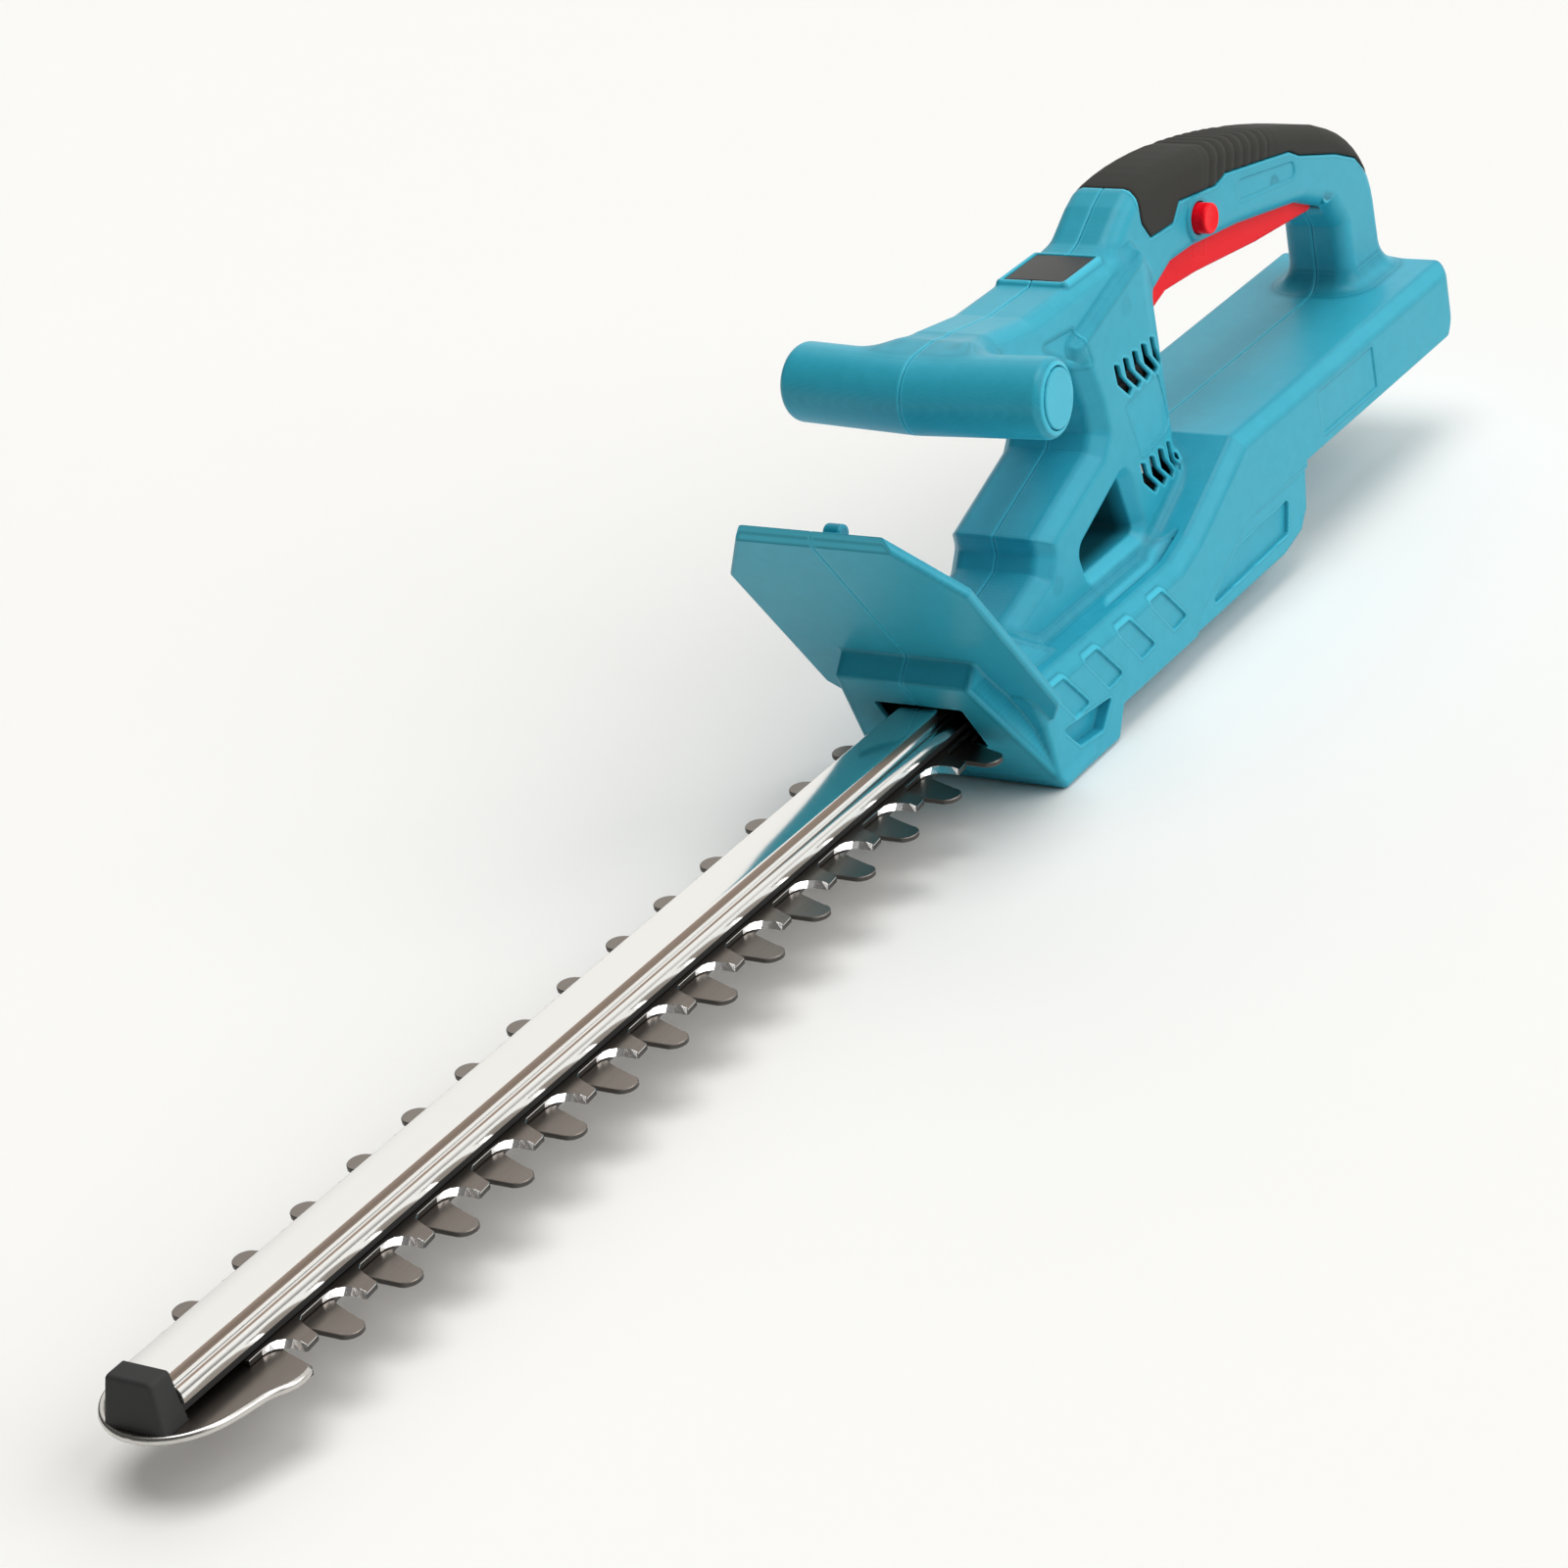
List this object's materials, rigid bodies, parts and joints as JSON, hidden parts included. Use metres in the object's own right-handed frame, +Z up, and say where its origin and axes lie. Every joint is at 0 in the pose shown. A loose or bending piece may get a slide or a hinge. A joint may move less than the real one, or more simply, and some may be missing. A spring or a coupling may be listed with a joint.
{
  "type": "hedge trimmer",
  "caption": "Cordless hedge trimmer body with a two-edged reciprocating blade, bright guide bar, hand guard, front cross handle and looped rear handle with a long trigger.",
  "frame": {"origin": "centre line of the tool on the flat underside of the front foot, 82 mm ahead of the crank gear and between the foot edges", "axes": "+X along the blades to the tip, +Y the right-hand side of the tool, +Z up"},
  "size_m": [0.901, 0.1204, 0.1898],
  "materials": {
    "teal_shell": "satin moulded plastic, fine grain",
    "grip_rubber": "matt overmoulded rubber",
    "window_grey": "dark translucent lens",
    "signal_red": "satin red plastic",
    "blade_steel": "ground and oiled blade steel",
    "bar_bright": "polished channel",
    "black_plastic": "matt black plastic",
    "plain_steel": "zinc plated",
    "cast_alloy": "die cast",
    "copper": "copper and bronze",
    "board_green": "solder mask"
  },
  "bodies": {
    "housing": {"left_shell": "teal_shell", "right_shell": "teal_shell", "grip_cover": "grip_rubber", "front_grip_cap_left": "teal_shell", "front_grip_cap_right": "teal_shell", "indicator_window": "window_grey", "indicator_board": "board_green", "shell_screws": "plain_steel", "blade_comb": "blade_steel", "clamp_strip": "black_plastic", "blade_bar": "bar_bright", "bar_end_cap": "black_plastic", "blade_bolts": "plain_steel", "guide_bushes": "plain_steel", "lock_nuts": "plain_steel", "gear_case": "cast_alloy", "gear_case_screws": "plain_steel", "crank_bearing": "plain_steel", "motor_can": "plain_steel", "motor_magnets": "plain_steel", "motor_end_cap": "black_plastic", "motor_brushes": "black_plastic", "motor_bushes": "copper", "trigger_pin": "plain_steel", "trigger_spring": "plain_steel", "lock_spring": "plain_steel", "trigger_switch": "black_plastic", "control_board": "board_green", "board_parts": "black_plastic", "terminal_block": "black_plastic", "terminal_blades": "copper"},
    "rotor": {"drive_pinion": "plain_steel", "rotor_shaft": "plain_steel", "rotor_core": "plain_steel", "rotor_winding": "copper", "commutator": "copper", "cooling_fan": "black_plastic"},
    "crank": {"crank_gear": "plain_steel", "crank_shaft": "plain_steel", "crank_pin": "plain_steel"},
    "cutter": {"blade_cutter": "blade_steel"},
    "trigger_lever": {"trigger": "signal_red"},
    "lock": {"lock_button": "signal_red"}
  },
  "joints": [
    {"name": "rotor_spin", "type": "hinge", "parent": "housing", "child": "rotor", "pos_m": [-0.114, 0, 0.1], "axis": [0, 0, 1], "continuous": true},
    {"name": "crank_spin", "type": "hinge", "parent": "housing", "child": "crank", "pos_m": [-0.078, 0, 0.04], "axis": [0, 0, 1], "continuous": true},
    {"name": "cutter_slide", "type": "slide", "parent": "housing", "child": "cutter", "axis": [1, 0, 0], "range_m": [-0.0075, 0.0075]},
    {"name": "trigger_pull", "type": "hinge", "parent": "housing", "child": "trigger_lever", "pos_m": [-0.298, 0, 0.128], "axis": [0, -1, 0], "range_deg": [0, 4], "stiffness_Nm_per_rad": 1.2, "springref_deg": -3.44, "deforming": ["trigger_spring"]},
    {"name": "lock_press", "type": "slide", "parent": "housing", "child": "lock", "axis": [0, -1, 0], "range_m": [0, 0.0045], "stiffness_N_per_m": 400, "springref_m": -0.002, "deforming": ["lock_spring"]}
  ],
  "couplings": [
    {"joint": "crank_spin", "follows": "rotor_spin", "ratio": -0.2}
  ]
}
